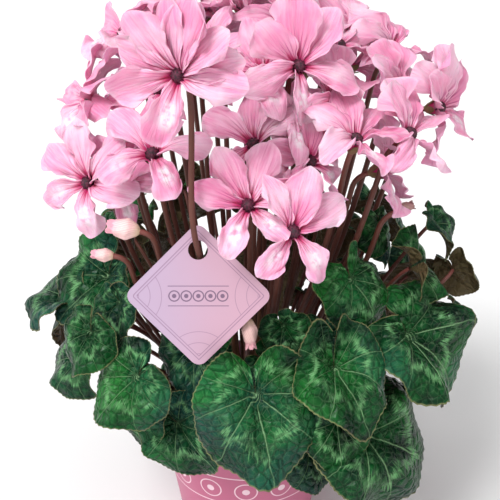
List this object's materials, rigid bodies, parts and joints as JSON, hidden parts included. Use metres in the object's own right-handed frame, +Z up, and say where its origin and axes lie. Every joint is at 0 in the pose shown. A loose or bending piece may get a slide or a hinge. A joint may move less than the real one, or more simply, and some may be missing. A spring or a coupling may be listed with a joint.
{
  "type": "potted cyclamen",
  "caption": "Flowering cyclamen in a tapered round pot: soft pink reflexed blooms on tall stalks over heart-shaped marbled leaves, with a plain square tag.",
  "frame": {"origin": "centre of the pot's underside, where it rests", "axes": "+Z up along the pot's axis; -Y is the plant's front, where the tag hangs; +X is to its right seen from the front"},
  "size_m": [0.3166, 0.2801, 0.4372],
  "materials": {
    "pot": "satin",
    "soil": "rough",
    "corm": "rough",
    "stalk": "satin",
    "leaf": "satin",
    "petal": "soft",
    "tag": "glossy"
  },
  "bodies": {
    "root": {"pot": "pot", "soil": "soil", "corm": "corm", "tag": "tag", "flower_stalks": "stalk", "leaf_stalks": "stalk", "bloom_01": "petal", "bloom_02": "petal", "bloom_03": "petal", "bloom_04": "petal", "bloom_05": "petal", "bloom_06": "petal", "bloom_07": "petal", "bloom_08": "petal", "bloom_09": "petal", "bloom_10": "petal", "bloom_11": "petal", "bloom_12": "petal", "bloom_13": "petal", "bloom_14": "petal", "bloom_15": "petal", "bloom_16": "petal", "bloom_17": "petal", "bloom_18": "petal", "bloom_19": "petal", "bloom_20": "petal", "bloom_21": "petal", "leaf_01": "leaf", "leaf_02": "leaf", "leaf_03": "leaf", "leaf_04": "leaf", "leaf_05": "leaf", "leaf_06": "leaf", "leaf_07": "leaf", "leaf_08": "leaf", "leaf_09": "leaf", "leaf_10": "leaf", "leaf_11": "leaf", "leaf_12": "leaf", "leaf_13": "leaf", "leaf_14": "leaf", "leaf_15": "leaf", "leaf_16": "leaf", "leaf_17": "leaf", "leaf_18": "leaf", "leaf_19": "leaf", "leaf_20": "leaf", "leaf_21": "leaf", "leaf_22": "leaf", "leaf_23": "leaf", "leaf_24": "leaf", "leaf_25": "leaf", "leaf_26": "leaf", "leaf_27": "leaf", "leaf_28": "leaf", "leaf_29": "leaf", "leaf_30": "leaf", "leaf_31": "leaf", "leaf_32": "leaf", "leaf_33": "leaf"}
  },
  "joints": []
}
